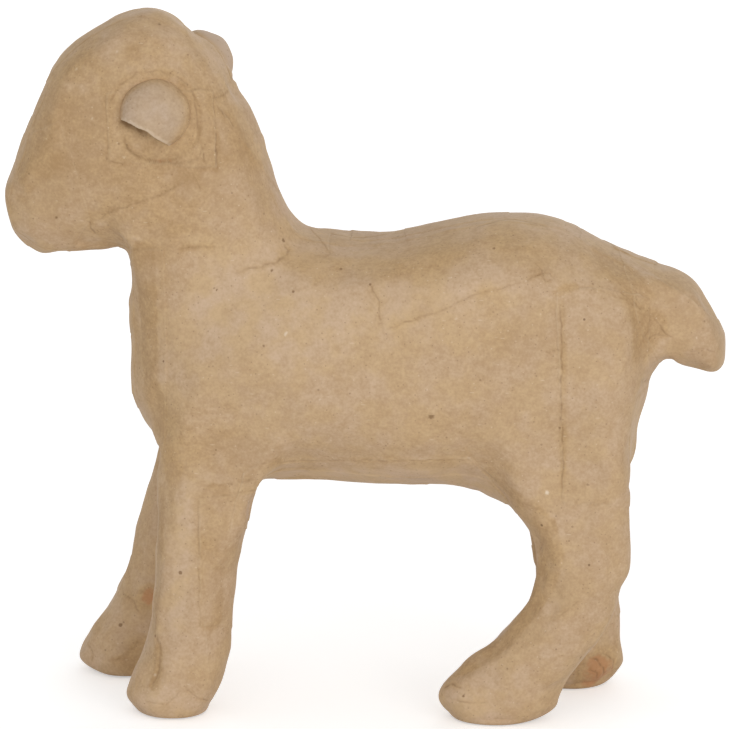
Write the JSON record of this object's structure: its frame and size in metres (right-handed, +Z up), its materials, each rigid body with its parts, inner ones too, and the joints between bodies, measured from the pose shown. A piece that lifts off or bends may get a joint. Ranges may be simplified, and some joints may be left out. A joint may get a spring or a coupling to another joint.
{
  "type": "goat figurine",
  "caption": "Standing kid goat figurine blank of papier mache faced with pasted kraft paper, unpainted, with round hood ears and a short tail, for decorating or display.",
  "frame": {"origin": "on the floor under the middle of the bounding box", "axes": "the goat faces -X, its left side is -Y, +Z is up"},
  "size_m": [0.1996, 0.0604, 0.1958],
  "materials": {
    "kraft_paper": "matt",
    "moulded_paper": "matt"
  },
  "bodies": {
    "root": {"back_strip": "kraft_paper", "belly_strip": "kraft_paper", "chest_strip": "kraft_paper", "crown_strip": "kraft_paper", "ear_patch_left": "kraft_paper", "ear_patch_right": "kraft_paper", "face_left": "kraft_paper", "face_right": "kraft_paper", "flank_left": "kraft_paper", "flank_right": "kraft_paper", "front_left_foot": "kraft_paper", "front_left_wrap": "kraft_paper", "front_right_foot": "kraft_paper", "front_right_wrap": "kraft_paper", "haunch_left": "kraft_paper", "haunch_right": "kraft_paper", "muzzle_cap": "kraft_paper", "nape_strip": "kraft_paper", "neck_left": "kraft_paper", "neck_right": "kraft_paper", "rear_left_foot": "kraft_paper", "rear_left_wrap": "kraft_paper", "rear_right_foot": "kraft_paper", "rear_right_wrap": "kraft_paper", "rump_strip": "kraft_paper", "seat": "kraft_paper", "shoulder_left": "kraft_paper", "shoulder_right": "kraft_paper", "tail_wrap": "kraft_paper", "throat_strip": "kraft_paper", "ear_left": "kraft_paper", "ear_right": "kraft_paper", "shell_left": "moulded_paper", "shell_right": "moulded_paper"}
  },
  "joints": []
}
